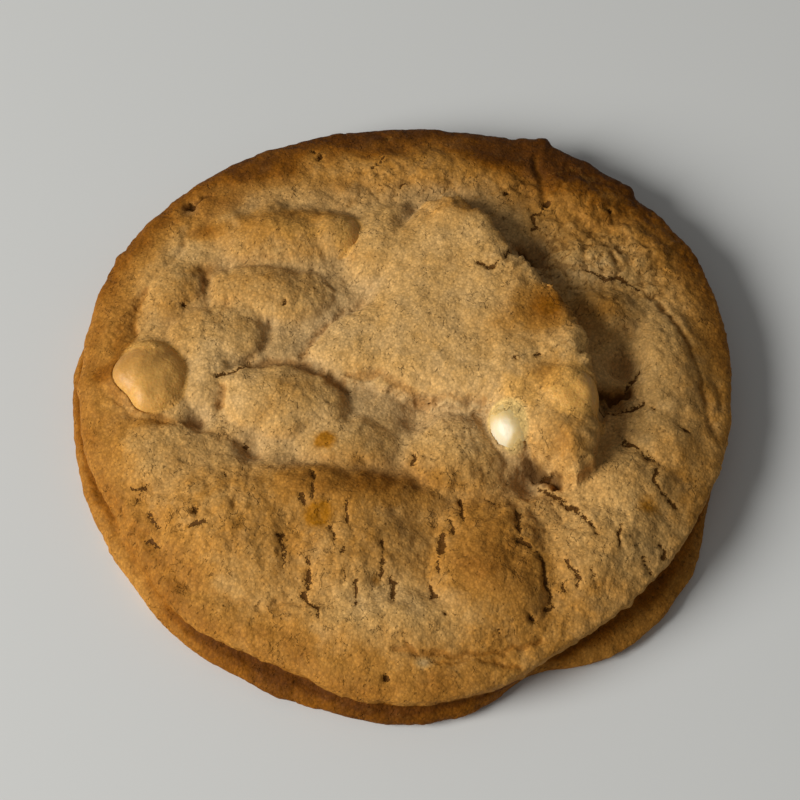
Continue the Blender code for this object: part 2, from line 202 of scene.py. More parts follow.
# Creases between lumps, in the same way: along them the shader also lays painted shade in brown
CREASES = [
    (0.3, 0.52, (-24.4, 18.0), (-19.2, 18.9), (-13.6, 18.6)), (0.3, 0.75, (-24.4, 18.2), (-23.7, 14.9)),
    (0.3, 0.45, (-23.9, 12.7), (-19.0, 12.4), (-16.1, 9.8)),
    (0.42, 0.6, (-16.1, 9.9), (-16.2, 6.7), (-18.7, 4.1)),
    (0.45, 1.0, (-18.1, 3.7), (-15.1, 4.4), (-12.0, 4.0), (-6.5, 0.3)),
    (0.35, 1.1, (-21.6, 0.3), (-21.8, -2.3)),
    (0.45, 0.9, (-6.5, 1.6), (-2.2, 1.6), (0.2, -0.1), (2.4, -1.8)),
    (0.35, 0.8, (2.4, -1.9), (6.2, -1.9), (10.4, -2.8)), (0.4, 1.2, (-36.2, 3.3), (-34.4, 6.0)),
    (0.4, 1.0, (-34.4, 6.0), (-32.9, 8.2)), (0.45, 1.3, (-36.2, 3.3), (-33.8, -0.4)),
    (0.45, 1.2, (-33.8, -0.4), (-28.4, -3.6)), (0.45, 0.9, (-29.5, -3.3), (-24.0, -4.0)),
    (0.36, 0.9, (-31.6, 15.3), (-33.0, 11.2), (-32.9, 8.2)), (0.4, 1.0, (-32.9, 8.2), (-36.2, 3.3)),
    (0.36, 0.6, (-23.9, -5.0), (-20.2, -5.8), (-17.0, -8.3)),
    (0.48, 0.3, (-11.7, -9.1), (-4.6, -9.9), (4.9, -13.7)),
    (0.36, 0.45, (-27.6, -22.3), (-24.8, -25.7), (-16.0, -28.4), (-11.4, -27.9)),
    (0.22, 1.0, (-0.4, -34.0), (4.8, -34.5), (11.7, -34.0), (16.9, -32.5)),
    (0.2, 0.8, (3.7, -35.5), (8.3, -34.8), (14.2, -35.5)), (0.22, 0.8, (30.4, 15.0), (33.4, 12.0)),
    (0.24, 0.9, (33.4, 12.0), (36.0, 6.4)), (0.24, 0.7, (36.0, 6.4), (37.5, -0.6)),
    (0.2, 0.5, (37.5, -0.6), (38.1, -4.6)), (0.45, 0.5, (39.2, 1.7), (39.5, -1.2)),
    (0.36, 0.75, (17.8, 35.9), (18.5, 32.1), (18.8, 28.0)),
    (0.42, 0.9, (14.7, 21.5), (16.5, 20.5), (18.5, 18.5)),
    (0.3, 0.68, (14.5, -9.3), (15.9, -11.4), (19.2, -13.0)),
    (0.2, 0.4, (23.1, -31.6), (28.1, -28.3), (32.1, -23.9)),
    (0.3, 0.6, (-35.9, -10.4), (-36.2, -13.7), (-37.2, -12.6)),
    (0.3, 0.6, (-34.8, -13.4), (-32.8, -15.9), (-30.0, -18.5)),
    (0.3, 0.8, (-12.0, 4.6), (-10.0, 8.0), (-7.0, 11.4)), (0.3, 0.6, (-7.0, 11.4), (-4.4, 12.8)),
    (0.3, 0.5, (-25.8, 26.4), (-28.1, 20.2), (-31.6, 15.3)),
]
# x, y, radius, depth of single pits
PITS = [
    (18.7, 27.8, 0.8, 1.2), (-18.2, -6.8, 0.5, 0.5), (17.6, -11.6, 0.6, 1.0), (-26.3, 28.8, 0.7, 0.6),
    (-24.0, -16.6, 0.55, 1.0), (-26.4, 12.4, 0.4, 0.7), (-14.3, 12.1, 0.4, 0.7), (16.9, 2.6, 0.45, 0.7),
    (14.1, 1.9, 0.3, 0.5), (-10.1, 35.8, 0.5, 0.7), (-11.2, 36.6, 0.35, 0.5), (-1.1, 38.9, 0.35, 0.5),
    (13.9, 29.3, 0.5, 0.7), (26.9, 26.8, 0.45, 0.7), (-1.4, -37.2, 0.5, 0.7), (15.1, -30.0, 0.4, 0.6),
    (5.2, -30.0, 0.3, 0.5), (11.7, -32.1, 0.35, 0.5), (-20.4, -11.5, 0.3, 0.5), (31.0, -2.6, 0.35, 0.6),
]
# x, y, half width, half depth and strength of browned places and of one place of painted shade, and of pale
# places below nought
BROWNED = [
    (18.2, 9.6, 3.6, 3.4, 0.52), (13.5, 7.5, 4.6, 3.0, 0.16), (8.0, 25.0, 4.2, 2.0, 0.22),
    (26.2, 11.6, 3.2, 2.6, 0.22), (-24.5, 23.8, 2.4, 1.6, 0.4), (-11.2, 25.6, 3.6, 1.6, 0.28),
    (-18.0, 24.6, 4.4, 1.6, 0.12), (-9.0, -13.0, 8.0, 3.4, 0.3), (0.5, -12.4, 6.0, 3.0, 0.22),
    (9.5, -16.5, 5.4, 4.0, 0.1), (11.0, -24.0, 6.4, 6.4, 0.22), (16.6, -0.4, 2.0, 1.8, 0.2),
    (-13.0, -0.2, 2.6, 1.4, 0.14), (-27.5, 12.5, 3.6, 4.4, 0.18), (19.0, 32.0, 6.0, 4.0, 0.2),
    (-24.6, -15.0, 3.0, 2.0, 0.06), (33.6, -9.0, 3.0, 5.0, 0.1), (-30.6, -4.0, 3.6, 1.0, 0.25),
    (-34.8, 6.0, 1.2, 5.0, 0.2), (-36.5, 22.0, 2.0, 6.0, 0.1), (24.0, 28.0, 8.0, 7.0, 0.32),
    (-15.0, 23.0, 7.0, 3.0, 0.26), (24.0, 17.6, 4.0, 2.6, -0.2), (-22.6, 4.0, 3.4, 5.0, -0.14),
    (-1.0, -27.0, 5.0, 2.4, -0.16), (-8.0, 8.0, 5.0, 4.0, -0.12), (8.0, -5.6, 5.0, 4.4, -0.1),
    (4.0, 8.0, 7.0, 7.0, -0.06), (2.0, 34.0, 18.0, 6.0, 0.24), (-16.6, 33.0, 5.0, 2.4, 0.14),
    (-8.8, 31.6, 3.4, 1.6, 0.12), (-22.0, 28.4, 3.6, 2.4, 0.2), (15.7, 34.4, 4.6, 2.6, 0.2),
    (19.0, 37.4, 2.6, 2.4, 0.3), (10.6, 36.0, 4.0, 2.6, 0.1), (-24.2, 17.9, 1.8, 1.2, 0.3),
    (-33.6, 9.0, 1.4, 6.0, 0.22), (-36.4, 3.3, 1.2, 1.2, 0.3), (-31.5, -2.4, 3.4, 0.9, 0.16),
    # The first place on the next line, at 26.0, 0.3, is painted shade in the crevice right of the middle nut
    (26.0, 0.3, 2.4, 0.9, 0.3), (18.6, -0.6, 1.6, 2.2, 0.24), (28.0, 29.6, 1.6, 1.6, -0.3),
    (-1.0, -29.6, 9.0, 3.0, -0.18), (3.0, -35.4, 0.9, 0.6, -0.5), (-17.0, -27.0, 6.0, 2.0, -0.08),
    (-10.0, -5.0, 4.0, 2.0, -0.12), (-18.0, -18.0, 9.0, 6.0, 0.08), (-37.0, -4.0, 3.0, 8.0, 0.08),
    (25.0, -19.0, 9.0, 7.0, -0.14), (-16.0, 14.5, 6.0, 3.5, 0.12), (19.8, -8.0, 3.4, 3.4, 0.22),
    (34.0, 4.0, 3.4, 5.0, 0.08), (26.6, -8.0, 5.0, 4.0, 0.06),
]
# angle, browning of the crust's rim and of the foot there
RIM_BROWN = [
    (-175, 0.34), (-150, 0.26), (-120, 0.2), (-90, 0.18), (-60, 0.04), (-40, -0.04), (-15, 0.1), (20, 0.46),
    (60, 0.6), (100, 0.7), (130, 0.6), (150, 0.45), (170, 0.4),
]
FOOT_BROWN = [
    (-178, 0.72), (-165, 0.74), (-152, 0.62), (-138, 0.6), (-128, 0.84), (-95, 0.9), (-70, 0.8),
    (-55, 0.62), (-30, 0.6), (0, 0.8), (90, 0.8), (165, 0.7),
]
# x, y, half width, half depth and strength of crumbly places
CRUMBLY = [
    (22.0, 19.0, 10.0, 8.0, 0.9), (14.0, 30.0, 8.0, 4.0, 0.5), (30.0, -3.0, 7.0, 7.0, 0.35),
    (-24.0, 11.0, 5.0, 4.0, 0.3), (-24.0, -17.0, 9.0, 7.0, 0.4), (-6.0, -23.0, 9.0, 6.0, 0.35),
    (14.0, -18.0, 9.0, 8.0, 0.4), (21.0, 4.0, 3.0, 8.0, 0.4), (8.0, -6.0, 6.0, 4.0, 0.2),
    (-2.0, 31.0, 9.0, 5.0, 0.5), (-30.0, -20.0, 4.0, 10.0, 0.4), (26.0, -20.0, 8.0, 6.0, 0.3),
    (31.0, 20.0, 6.0, 9.0, 0.5), (2.0, -31.0, 16.0, 4.0, 0.2), (-34.0, 10.0, 3.0, 14.0, 0.3),
]
# x, y, half width, half depth and strength of spots soaked with butter
BUTTER = [
    (-8.8, -7.3, 1.45, 1.25, 1.0), (-9.4, -17.6, 1.8, 1.7, 1.1), (29.5, -15.9, 1.8, 1.6, 0.6),
    (-24.8, -18.7, 0.8, 0.5, 0.5), (18.6, 9.4, 2.2, 2.0, 0.35), (-2.6, -25.6, 0.8, 0.9, 0.5),
]
# angle, width in degrees and reach outwards of small knobs on the rim
KNOBS = [
    (64.0, 1.3, 1.1), (66.5, 2.0, 0.6), (60.0, 2.0, -0.2), (46.6, 1.1, 0.8), (48.6, 1.6, 0.4),
    (43.5, 1.6, -0.2), (148.5, 1.2, 0.5), (176.0, 1.5, 0.3),
]


def smoothstep(low, high, value):
    share = np.clip((value - low) / (high - low), 0.0, 1.0)
    return share * share * (3.0 - 2.0 * share)


def around(table, angle):
    """A table's value at each angle, running smoothly round the circle."""
    fine = np.arange(-180.0, 180.0)
    line = np.interp(fine, [row[0] for row in table], [row[1] for row in table], period=360.0)
    spread = np.arange(-9, 10)
    weight = np.exp(-0.5 * (spread / 3.0) ** 2)
    weight /= weight.sum()
    smooth = sum(w * np.roll(line, s) for w, s in zip(weight, spread))
    return np.interp(np.degrees(angle), fine, smooth, period=360.0)


def crust_curve(steps):
    """Shares of radius and of rise along the crust, evenly spaced from its middle to its widest."""
    turn = np.linspace(0.0, math.pi / 2, 4000)
    share = np.sin(turn) ** (2.0 / DOME_POWER)
    rise = np.cos(turn)
    length = np.concatenate([[0.0], np.cumsum(np.hypot(np.diff(share), 0.1 * np.diff(rise)))])
    even = np.linspace(0.0, length[-1], steps + 1)
    return np.interp(even, length, share), np.interp(even, length, rise)


def fractal(points, size, octaves=3, seed=0.0):
    """Smooth noise of about -1 to 1 at each point, whose widest waves are size across."""
    offset = Vector((seed, 1.7 * seed, -seed))
    return np.array([noise.fractal(Vector(point) / size + offset, 1.0, 2.0, octaves) for point in points])


def flat_points(x, y):
    return np.column_stack([x, y, 0 * x])


def turned(x, y, turn):
    """x and y measured along axes that are turned by so many degrees."""
    c = math.cos(math.radians(turn))
    s = math.sin(math.radians(turn))
    return x * c + y * s, y * c - x * s


def share_along(x, y, ax, ay, bx, by):
    """How far along the straight line from a to b each point is nearest to it, from 0 to 1."""
    along = ((x - ax) * (bx - ax) + (y - ay) * (by - ay)) / ((bx - ax) ** 2 + (by - ay) ** 2)
    return np.clip(along, 0.0, 1.0)


def groove_distance(x, y, grooves, fall):
    """Depth of the deepest groove at each point, the distance to the nearest wall, and the way there."""
    depth = np.zeros(x.shape)
    wall = np.full(x.shape, FAR)
    way = np.full((len(x), 3), FAR)
    pieces = [(half, deep, *a, *b) for half, deep, *line in grooves for a, b in zip(line, line[1:])]
    for half, deep, ax, ay, bx, by in pieces:
        near_x = abs(x - 0.5 * (ax + bx)) < 0.5 * abs(ax - bx) + FAR + half
        near_y = abs(y - 0.5 * (ay + by)) < 0.5 * abs(ay - by) + FAR + half
        near = np.flatnonzero(near_x & near_y)
        px = x[near]
        py = y[near]
        along = share_along(px, py, ax, ay, bx, by)
        off_x = px - ax - along * (bx - ax)
        off_y = py - ay - along * (by - ay)
        gap = np.hypot(off_x, off_y)
        depth[near] = np.maximum(depth[near], deep * np.exp(-(gap / (fall * half + 0.12)) ** 2))
        closer = gap - half < wall[near]
        wall[near[closer]] = (gap - half)[closer]
        way[near[closer], 0] = off_x[closer]
        way[near[closer], 1] = off_y[closer]
        way[near[closer], 2] = half
    return depth, wall, way


def pit_distance(x, y):
    """Depth of the deepest pit at each point and the distance to the nearest pit's wall."""
    depth = np.zeros(x.shape)
    wall = np.full(x.shape, FAR)
    for px, py, radius, deep in PITS:
        gap = np.hypot(x - px, y - py)
        depth = np.maximum(depth, deep * np.exp(-(gap / (0.8 * radius)) ** 3))
        wall = np.minimum(wall, gap - 0.7 * radius)
    return depth, wall


def plate_edge(x, y):
    """Distance to the plate's outline, positive inside, the nearest point on it and its crispness there."""
    nearest = np.full(x.shape, 1e9)
    at_x = np.zeros(x.shape)
    at_y = np.zeros(x.shape)
    crisp = np.zeros(x.shape)
    inside = np.zeros(x.shape, dtype=bool)
    for (ax, ay, a_crisp), (bx, by, b_crisp) in zip(PLATE, PLATE[1:] + PLATE[:1]):
        along = share_along(x, y, ax, ay, bx, by)
        qx = ax + along * (bx - ax)
        qy = ay + along * (by - ay)
        gap = np.hypot(x - qx, y - qy)
        closer = gap < nearest
        nearest = np.where(closer, gap, nearest)
        at_x = np.where(closer, qx, at_x)
        at_y = np.where(closer, qy, at_y)
        crisp = np.where(closer, a_crisp + along * (b_crisp - a_crisp), crisp)
        if ay != by:
            inside ^= ((ay > y) != (by > y)) & (x < ax + (y - ay) * (bx - ax) / (by - ay))
    return np.where(inside, nearest, -nearest), at_x, at_y, crisp


def lumps(x, y):
    total = np.zeros(x.shape)
    for cx, cy, half_x, half_y, turn, rise, crisp in LUMPS:
        along, across = turned(x - cx, y - cy, turn)
        spread = (along / half_x) ** 2 + (across / half_y) ** 2
        dome = rise * np.clip(1.0 - 0.8 * spread, 0.0, None) ** (crisp + 0.45)
        total = (total ** 4 + dome ** 4) ** 0.25
    return total


def plate(x, y, lower, inner_height):
    """Rise of the crust with the plate laid over the lower lumps."""
    edge, _, _, crisp = plate_edge(x, y)
    flat = flat_points(x, y)
    uneven = 0.8 * fractal(flat, 2.6, 2, 3.1) + 0.45 * fractal(flat, 0.8, 2, 5.3)
    ragged = edge + (0.4 + 0.6 * crisp) * uneven
    step = smoothstep(-0.35, 0.35, ragged)
    round_off = 1.0 - (1.0 - np.clip((ragged + 0.4) / (6.0 - 3.4 * crisp), 0.0, 1.0)) ** 2
    stepped = 0.7 * crisp
    share = stepped * step + (1.0 - stepped) * round_off
    top = PLATE_HEIGHT + PLATE_SLOPE * x - inner_height + 0.45 * fractal(flat, 8.0, 2, 9.0)
    total = lower + share * (np.maximum(top, lower) - lower)
    for cx, cy, radius, depth in HOLLOWS:
        total -= depth * np.exp(-((x - cx) ** 2 + (y - cy) ** 2) / (0.6 * radius) ** 2)
    return total


def crust_rise(x, y, inner_height):
    """Rise of the lumps, whose outlines wander a little, and of the plate."""
    flat = flat_points(x, y)
    wander_x = 0.9 * fractal(flat, 5.0, 3, 21.0)
    wander_y = 0.9 * fractal(flat, 5.0, 3, 27.0)
    return plate(x, y, lumps(x + wander_x, y + wander_y), inner_height)


def nut_outline(name, angle):
    """Share of its radii that a nut reaches towards each angle, in radians."""
    share = np.ones(np.shape(angle))
    for side, cut, width in NUT_FLATS.get(name, ()):
        away = (np.degrees(angle) - side + 180.0) % 360.0 - 180.0
        share -= cut * np.exp(-((away / width) ** 2))
    return share


def nut_height(name, x, y, spread):
    """Height of a nut's upper half as a share of its radius, a little uneven, at a spread of 0 to 1."""
    power = NUT_SETTING[name][4]
    dome = np.clip(1.0 - spread ** (0.5 * power), 0.0, None) ** (1.0 / power)
    return dome + 0.07 * fractal(flat_points(x, y), 3.6, 2, 31.0) * smoothstep(1.0, 0.6, spread)


def nut_top(name, x, y, centre, radii, turn):
    """Height of a nut's top over each point, falling away steeply outside it, and mm outside its outline."""
    x_off = x - centre[0]
    y_off = y - centre[1]
    share = nut_outline(name, np.arctan2(y_off, x_off))
    along, across = turned(x_off, y_off, turn)
    spread = (along / radii[0] / share) ** 2 + (across / radii[1] / share) ** 2
    dome = radii[2] * nut_height(name, x, y, np.minimum(spread, 1.0))
    outside = 0.5 * (radii[0] + radii[1]) * (np.sqrt(spread) - 1.0)
    height = centre[2] - NUT_SETTING[name][0] + np.where(spread < 1.0, dome, 4.0 * (1.0 - spread))
    return height, outside


def film_past(name, x, y, centre, radii, wander):
    """How far inside a nut's film of dough each place lies, in widths over which the film thins out."""
    size = 0.5 * (radii[0] + radii[1])
    past = np.full(np.shape(x), -9.0)
    for side, reach, soft in NUT_FILMS[name]:
        along, _ = turned(x - centre[0], y - centre[1], side)
        past = np.maximum(past, (along - reach * size + wander) / soft)
    return past


def clods(x, y, size):
    """Distance to the nearest gap between rounded clods, in mm, and each clod's own rise of -1 to 1."""
    gap = np.empty(x.shape)
    rise = np.empty(x.shape)
    for index, (px, py) in enumerate(zip(x / size, y / size)):
        distances, places = noise.voronoi(Vector((px, py, 0.5)))
        gap[index] = distances[1] - distances[0]
        rise[index] = math.sin(91.7 * places[0][0] + 37.3 * places[0][1])
    return size * gap, rise


def spots(x, y, places):
    total = np.zeros(x.shape)
    for cx, cy, half_x, half_y, strength in places:
        total += strength * np.exp(-((x - cx) / half_x) ** 2 - ((y - cy) / half_y) ** 2)
    return total


def valley_depth(x, y, inner_height):
    """How low the crust lies against its surroundings, in mm, positive in valleys, read from a coarse grid."""
    step = 0.8
    line = np.arange(-46.0, 46.0, step)
    grid_x, grid_y = np.meshgrid(line, line, indexing="ij")
    height = crust_rise(grid_x.ravel(), grid_y.ravel(), inner_height).reshape(grid_x.shape)
    reach = np.arange(-12, 13)
    weight = np.exp(-0.5 * (reach / 4.2) ** 2)
    weight /= weight.sum()
    mean = sum(w * np.roll(height, r, axis=0) for w, r in zip(weight, reach))
    mean = sum(w * np.roll(mean, r, axis=1) for w, r in zip(weight, reach))
    low = mean - height
    place_x = np.clip((x - line[0]) / step, 0, len(line) - 2)
    place_y = np.clip((y - line[0]) / step, 0, len(line) - 2)
    i = place_x.astype(int)
    j = place_y.astype(int)
    fx = place_x - i
    fy = place_y - j
    return ((1 - fx) * (1 - fy) * low[i, j] + fx * (1 - fy) * low[i + 1, j]
            + (1 - fx) * fy * low[i, j + 1] + fx * fy * low[i + 1, j + 1])


def length_prop(name, description, default_mm):
    return FloatProperty(
        name=name, description=description, default=default_mm * MM, min=0.0, unit="LENGTH", precision=5)


def colour_prop(name, description, default):
    return FloatVectorProperty(
        name=name, description=description, subtype="COLOR", size=3, min=0.0, max=1.0, default=default)


class CookieSizes(bpy.types.PropertyGroup):
    """Sizes of the dough and of its relief"""

    inner_height: length_prop("Inner height", "The dough's usual height inside the rim", 7.7)
    crumb: length_prop("Crumb", "Unevenness of the crust", 0.16)
    grain: length_prop("Grain", "Fine unevenness of the crust", 0.09)
    sand: length_prop("Sand", "Sandy roughness of the crust", 0.025)
    rings: IntProperty(
        name="Rings", description="Rings of triangles over the crust, a multiple of 3", default=150, min=6)


class CookieColours(bpy.types.PropertyGroup):
    """Colours of the dough, the nuts, the chip and the floor"""

    pale: colour_prop("Pale dough", "Colour of the least baked crust", (0.66, 0.425, 0.18))
    golden: colour_prop("Golden crust", "Usual colour of the crust", (0.59, 0.33, 0.10))
    toasted: colour_prop("Toasted crust", "Colour of well baked crust", (0.45, 0.20, 0.033))
    brown: colour_prop("Browned crust", "Colour of the rim and hot spots", (0.25, 0.085, 0.005))
    dark: colour_prop("Dark crust", "Colour of the darkest foot", (0.11, 0.033, 0.002))
    valley: colour_prop("Valley crust", "Colour of crust in hollows between lumps", (0.38, 0.25, 0.115))
    # The crack colour is painted shade: the dark laid into cracks, pits, pores, holes, hairline seams, gaps
    # between clods and crevices
    crack: colour_prop("Crack", "Colour inside cracks and pores", (0.08, 0.028, 0.003))
    butter: colour_prop("Butter spots", "Colour where butter soaked the crust", (0.35, 0.13, 0.002))
    nut: colour_prop("Macadamia", "Colour of the macadamia", (0.685, 0.355, 0.08))
    toasted_nut: colour_prop("Toasted macadamia", "Colour of its browned side", (0.46, 0.22, 0.045))
    film: colour_prop("Film", "Colour of dough drawn thin over a macadamia", (0.74, 0.375, 0.08))
    chip: colour_prop("White chocolate", "Colour of the chip", (0.82, 0.70, 0.46))
    milk: colour_prop("Milky film", "Colour of dough stained by the chip", (0.70, 0.47, 0.16))
    floor: colour_prop("Floor", "Colour of the floor", (0.72, 0.72, 0.69))


def deselect():
    if bpy.context.object and bpy.context.object.mode != "OBJECT":
        bpy.ops.object.mode_set(mode="OBJECT")
    bpy.ops.object.select_all(action="DESELECT")


def read_points(mesh, key="co"):
    values = np.empty(3 * len(mesh.vertices))
    mesh.vertices.foreach_get(key, values)
    return values.reshape(-1, 3)


def write_points(mesh, points):
    mesh.vertices.foreach_set("co", np.ascontiguousarray(points, dtype=float).ravel())
    mesh.update()


def add_attributes(mesh, values_by_name):
    """Adds a point attribute for each name, a vector where its values have three columns."""
    for name, values in values_by_name.items():
        values = np.asarray(values, dtype=np.float32)
        if values.ndim == 2:
            mesh.attributes.new(name, "FLOAT_VECTOR", "POINT").data.foreach_set("vector", values.ravel())
        else:
            mesh.attributes.new(name, "FLOAT", "POINT").data.foreach_set("value", values)


def add_dough_disc(rings):
    """A six-sided disc of triangle rings with rows hanging from its edge, closed underneath."""
    deselect()
    bpy.ops.mesh.primitive_circle_add(vertices=6, radius=DISC_RADIUS, fill_type="TRIFAN")
    disc = bpy.context.object
    bpy.ops.object.mode_set(mode="EDIT")
    bpy.ops.mesh.select_all(action="SELECT")
    bpy.ops.mesh.subdivide(number_cuts=rings // 3 - 1)
    bpy.ops.mesh.subdivide(number_cuts=2)
    bpy.ops.mesh.select_mode(type="EDGE")
    bpy.ops.mesh.select_all(action="DESELECT")
    bm = bmesh.from_edit_mesh(disc.data)
    for edge in bm.edges:
        edge.select_set(edge.is_boundary)
    bmesh.update_edit_mesh(disc.data)
    for _ in range(sum(RIM_SPANS)):
        bpy.ops.mesh.extrude_region_move(TRANSFORM_OT_translate={"value": (0.0, 0.0, -ROW_STEP)})
    bpy.ops.mesh.edge_face_add()
    bpy.ops.mesh.select_all(action="SELECT")
    bpy.ops.mesh.normals_make_consistent(inside=False)
    bpy.ops.object.mode_set(mode="OBJECT")
    return disc


def disc_places(points, rings):
    """Ring, rim row and angle of each vertex of the six-sided disc."""
    row = np.rint(-points[:, 2] / ROW_STEP).astype(int)
    radius = np.hypot(points[:, 0], points[:, 1])
    turn = np.degrees(np.arctan2(points[:, 1], points[:, 0])) - 90.0
    sector = np.floor(turn / 60.0 + 1e-7)
    inner = np.radians(turn - 60.0 * sector)
    size = radius * np.cos(inner - math.pi / 6) / (DISC_RADIUS * math.cos(math.pi / 6))
    ring = np.rint(size * rings).astype(int)
    across = radius * np.sin(inner) / math.sin(math.pi / 3) / DISC_RADIUS
    share = np.where(ring > 0, across / np.maximum(size, 1e-9), 0.0)
    angle = np.radians(90.0 + 60.0 * (sector + share))
    return ring, row, (angle + math.pi) % (2 * math.pi) - math.pi


def curve_through(stations, share):
    """Smooth curve through a list of arrays, at a share of 0 to 1 of the way along each span."""
    span = np.minimum(share.astype(int), len(stations) - 2)
    t = share - span
    table = np.array(stations)
    column = np.arange(table.shape[1])
    before = table[np.maximum(span - 1, 0), column]
    start = table[span, column]
    end = table[span + 1, column]
    after = table[np.minimum(span + 2, len(stations) - 1), column]
    return 0.5 * (2 * start + (end - before) * t + (2 * before - 5 * start + 4 * end - after) * t ** 2
                  + (3 * start - before - 3 * end + after) * t ** 3)


def base_form(ring, row, angle, rings, inner_height):
    """The dough's smooth form with its lumps and plate, in mm, and a share that fades out towards the rim."""
    share, rise = crust_curve(rings)
    knob = np.zeros(angle.shape)
    for place, width, reach in KNOBS:
        knob += reach * np.exp(-((np.degrees(angle) - place) / width) ** 2)
    crust_radius = around(CRUST_RADIUS, angle)
    radius = share[ring] * crust_radius + share[ring] ** 16 * knob
    lip = around(LIP_HEIGHT, angle)
    x = radius * np.cos(angle)
    y = radius * np.sin(angle)
    edge, at_x, at_y, crisp = plate_edge(x, y)
    pull = np.where(abs(edge) < EDGE_REACH, (abs(edge) / EDGE_REACH) ** (0.6 * crisp), 1.0)
    x = at_x + (x - at_x) * pull
    y = at_y + (y - at_y) * pull
    fade = 1.0 - smoothstep(0.84, 1.0, share[ring])
    z = lip + (inner_height - lip) * rise[ring] + crust_rise(x, y, inner_height) * fade
    inside = edge * pull
    over = EDGE_OVERHANG * crisp * smoothstep(-0.2, 0.35, inside) * (1.0 - smoothstep(0.6, 3.0, inside))
    away = np.maximum(np.hypot(x - at_x, y - at_y), 1e-6)
    x = x - over * (x - at_x) / away
    y = y - over * (y - at_y) / away

    top = crust_radius + knob
    foot = around(FOOT_RADIUS, angle)
    depth = around(CREASE_DEPTH, angle)
    gap = lip - FOOT_HEIGHT
    level = np.ones(x.shape)
    radii = [top, top - 0.25 * depth, top - depth, 0.45 * (top - depth) + 0.55 * foot, foot, foot, foot - 0.45]
    heights = [
        lip, lip - 0.45 * gap, lip - 0.85 * gap, (FOOT_HEIGHT - 0.25) * level,
        0.6 * FOOT_HEIGHT * level, 0.3 * FOOT_HEIGHT * level, 0.0 * level,
    ]
    stops = np.concatenate([[0], np.cumsum(RIM_SPANS)])
    place = np.interp(row, stops, np.arange(len(stops)))
    rim_radius = curve_through(radii, place)
    on_rim = row > 0
    x = np.where(on_rim, rim_radius * np.cos(angle), x)
    y = np.where(on_rim, rim_radius * np.sin(angle), y)
    z = np.where(on_rim, np.maximum(curve_through(heights, place), 0.0), z)
    return np.column_stack([x, y, z]), fade * ~on_rim


def middle_shift():
    """How far the form is moved so that its outline stands over the origin, in mm."""
    angle = 2 * math.pi * np.arange(OUTLINE_STEPS) / OUTLINE_STEPS
    angle = (angle + math.pi) % (2 * math.pi) - math.pi
    radius = np.maximum(around(CRUST_RADIUS, angle), around(FOOT_RADIUS, angle))
    x = radius * np.cos(angle)
    y = radius * np.sin(angle)
    return np.array([-0.5 * (x.min() + x.max()), -0.5 * (y.min() + y.max()), 0.0])


def crumble(form, bent_x, bent_y, row, sizes):
    """Height of the crumb in mm, how crumbly each place is, and the distance to the nearest open gap in it."""
    x, y, _ = form.T
    rough = np.clip(0.3 + spots(x, y, CRUMBLY) + 0.35 * fractal(form, 5.0, 2, 13.0), 0.0, 1.0)
    clod_gap, clod_rise = clods(x + 1.3 * (bent_x - x), y + 1.3 * (bent_y - y), CLOD_SIZE)
    bit_gap, bit_rise = clods(bent_x, bent_y, BIT_SIZE)
    lumpy = 0.10 * clod_rise + 0.05 * bit_rise
    lumpy -= 0.17 * np.exp(-(clod_gap / 0.28) ** 2) + 0.09 * np.exp(-(bit_gap / 0.2) ** 2)
    crags = 0.4 - abs(fractal(form, 3.4, 3, 33.0))
    lip = np.exp(-((row - 3.0) / 5.0) ** 2) * (row > 0)
    crumb = sizes.crumb / MM * fractal(form, 3.4, 3) + sizes.grain / MM * fractal(form, 1.7, 3, 4.0)
    crumb += rough * lumpy + sizes.sand / MM * fractal(form, 0.6, 1, 5.0)
    crumb += 0.6 * crags * smoothstep(0.5, 1.0, rough) + 0.22 * lip * fractal(form, 1.4, 2, 14.0)
    return crumb, rough, clod_gap + 0.9 - 1.1 * rough


def hug_nuts(points, form, crumb, on_rim):
    """Raises the dough beside the nuts, draws films of it over their sides and gives where they stain it."""
    tints = {"film": np.zeros(len(points)), "milk": np.zeros(len(points))}
    wander = 0.5 * fractal(form, 2.0, 2, 17.0) + 0.2 * fractal(form, 0.6, 1, 18.0)
    for name, centre, radii, turn in NUTS:
        _, lift, steep, _, _ = NUT_SETTING[name]
        x, y, z = points.T
        top, outside = nut_top(name, x, y, centre, radii, turn)
        collar = centre[2] + lift - steep * np.maximum(outside, 0.0)
        near = (outside > -0.5) & (outside < 4.0) & ~on_rim
        raised = 0.5 * (z + collar + np.sqrt((z - collar) ** 2 + 0.2))
        z = np.where(near, np.maximum(z, raised - 0.2), z)
        past = film_past(name, x, y, centre, radii, wander)
        over = np.where(on_rim, -9.0, top - z)
        bare = z - 0.9 * smoothstep(0.05, 0.6, over)
        cover = top + FILM * np.tanh(past) - 0.9 * smoothstep(-1.0, -3.5, past) + 0.7 * crumb
        hugged = 0.5 * (z + cover + np.sqrt((z - cover) ** 2 + 0.05))
        share = smoothstep(-1.6, -0.4, past)
        points[:, 2] = np.where(over > -1.5, bare + share * (hugged - bare), z)
        close = np.exp(-(np.minimum(over, 0.0) / 0.8) ** 2) * np.exp(-(np.maximum(past, 0.0) / 1.4) ** 2)
        tint = "milk" if name == "white_chip" else "film"
        tints[tint] = np.maximum(tints[tint], close * smoothstep(-2.5, -0.5, past))
    points[:, 2] = np.maximum(points[:, 2], 0.0)
    return tints


